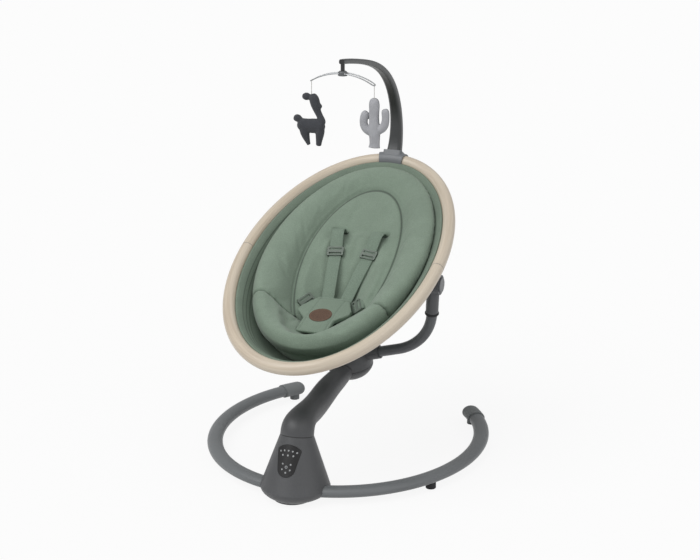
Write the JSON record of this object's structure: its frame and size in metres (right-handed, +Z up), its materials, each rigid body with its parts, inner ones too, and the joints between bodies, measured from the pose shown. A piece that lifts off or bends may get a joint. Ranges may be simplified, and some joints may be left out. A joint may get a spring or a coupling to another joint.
{
  "type": "baby swing",
  "caption": "Electric baby swing: C-shaped floor frame, control hub, leaning stem, swaying yoke, reclining padded oval seat with harness, and a toy arch with hanging stuffed toys.",
  "frame": {"origin": "middle of the hub's rubber pad, on the floor", "axes": "+Z up, front (the control panel and the seat's foot end) towards -Y, +X to the right as seen from the front"},
  "size_m": [0.561, 0.6379, 0.7949],
  "materials": {
    "frame_grey": "satin",
    "cap_grey": "textured",
    "shell_dark": "satin",
    "panel_black": "gloss",
    "black_rubber": "matte",
    "board_green": "matte",
    "steel": "satin",
    "copper": "satin",
    "ring_beige": "satin",
    "yoke_grey": "satin",
    "pivot_grey": "satin",
    "cloth_dark": "woven",
    "cloth_light": "jersey",
    "webbing": "ribbed",
    "ladder_grey": "satin",
    "badge_brown": "matte",
    "clip_grey": "satin",
    "arch_dark": "satin",
    "toy_charcoal": "felt",
    "toy_grey": "jersey",
    "string_white": "cord"
  },
  "bodies": {
    "base": {"base_hub": "shell_dark", "bottom_plate": "shell_dark", "control_panel": "panel_black", "control_board": "board_green", "hub_foot_pad": "black_rubber", "hub_screws": "steel", "speaker": "shell_dark", "power_socket": "shell_dark", "left_leg_tube": "frame_grey", "right_leg_tube": "frame_grey", "leg_caps": "cap_grey", "leg_feet": "black_rubber", "leg_joiner": "frame_grey", "stem": "shell_dark", "head_lower_shell": "shell_dark", "head_bearings": "steel", "drive_coil": "copper"},
    "swing": {"head_upper_shell": "shell_dark", "swing_shaft": "steel", "magnet_arm": "shell_dark", "drive_magnet": "steel", "left_yoke_tube": "yoke_grey", "right_yoke_tube": "yoke_grey", "left_pivot_housing": "pivot_grey", "right_pivot_housing": "pivot_grey", "arm_seals": "black_rubber"},
    "seat": {"upper_ring": "ring_beige", "lower_ring": "ring_beige", "ring_sleeves": "steel", "ring_brackets": "pivot_grey", "pivot_pins": "steel", "seat_sling": "cloth_dark", "back_cushion": "cloth_light", "leg_cushion": "cloth_light", "shoulder_straps": "webbing", "waist_straps": "webbing", "waist_adjusters": "ladder_grey", "harness_buckle": "ladder_grey", "crotch_pad": "cloth_light", "leather_badge": "badge_brown", "toy_clip": "clip_grey"},
    "left_button": {"left_recline_button": "pivot_grey"},
    "right_button": {"right_recline_button": "pivot_grey"},
    "left_adjuster": {"left_shoulder_adjuster": "ladder_grey"},
    "right_adjuster": {"right_shoulder_adjuster": "ladder_grey"},
    "release_button": {"buckle_button": "ladder_grey"},
    "toy_bar": {"toy_arch": "arch_dark"},
    "hanger": {"hanger_hub": "arch_dark", "hanger_wire": "steel"},
    "animal_toy": {"animal_body": "toy_charcoal", "animal_head": "toy_charcoal", "animal_ear": "toy_charcoal", "animal_tail": "toy_charcoal", "animal_hind_leg": "toy_charcoal", "animal_front_leg": "toy_charcoal", "animal_string": "string_white"},
    "cactus_toy": {"cactus_trunk": "toy_grey", "cactus_left_arm": "toy_grey", "cactus_right_arm": "toy_grey", "cactus_string": "string_white"}
  },
  "joints": [
    {"name": "sway", "type": "hinge", "parent": "base", "child": "swing", "pos_m": [0, 0.30017, 0.1847], "axis": [0, -0.2079, 0.9781], "range_deg": [-15, 15], "stiffness_Nm_per_rad": 4},
    {"name": "recline", "type": "hinge", "parent": "swing", "child": "seat", "pos_m": [0, 0.26067, 0.37055], "axis": [1, 0, 0], "range_deg": [-14, 0]},
    {"name": "left_button_press", "type": "slide", "parent": "swing", "child": "left_button", "axis": [1, 0, 0], "range_m": [0, 0.003], "stiffness_N_per_m": 800},
    {"name": "right_button_press", "type": "slide", "parent": "swing", "child": "right_button", "axis": [-1, 0, 0], "range_m": [0, 0.003], "stiffness_N_per_m": 800},
    {"name": "left_adjuster_slide", "type": "slide", "parent": "seat", "child": "left_adjuster", "axis": [0.1441, -0.7529, -0.6422], "range_m": [-0.015, 0.015]},
    {"name": "right_adjuster_slide", "type": "slide", "parent": "seat", "child": "right_adjuster", "axis": [-0.1441, -0.7529, -0.6422], "range_m": [-0.015, 0.015]},
    {"name": "release_press", "type": "slide", "parent": "seat", "child": "release_button", "axis": [0, 0.3939, -0.9191], "range_m": [0, 0.002], "stiffness_N_per_m": 900},
    {"name": "toy_bar_pull", "type": "slide", "parent": "seat", "child": "toy_bar", "axis": [0, 0.5, 0.866], "range_m": [0, 0.04]},
    {"name": "hanger_turn", "type": "hinge", "parent": "toy_bar", "child": "hanger", "pos_m": [0, 0.264, 0.7725], "axis": [0, 0, 1], "continuous": true},
    {"name": "animal_sway", "type": "hinge", "parent": "hanger", "child": "animal_toy", "pos_m": [-0.064, 0.264, 0.74751], "axis": [1, 0, 0], "range_deg": [-30, 30]},
    {"name": "cactus_sway", "type": "hinge", "parent": "hanger", "child": "cactus_toy", "pos_m": [0.064, 0.264, 0.74751], "axis": [1, 0, 0], "range_deg": [-30, 30]}
  ]
}
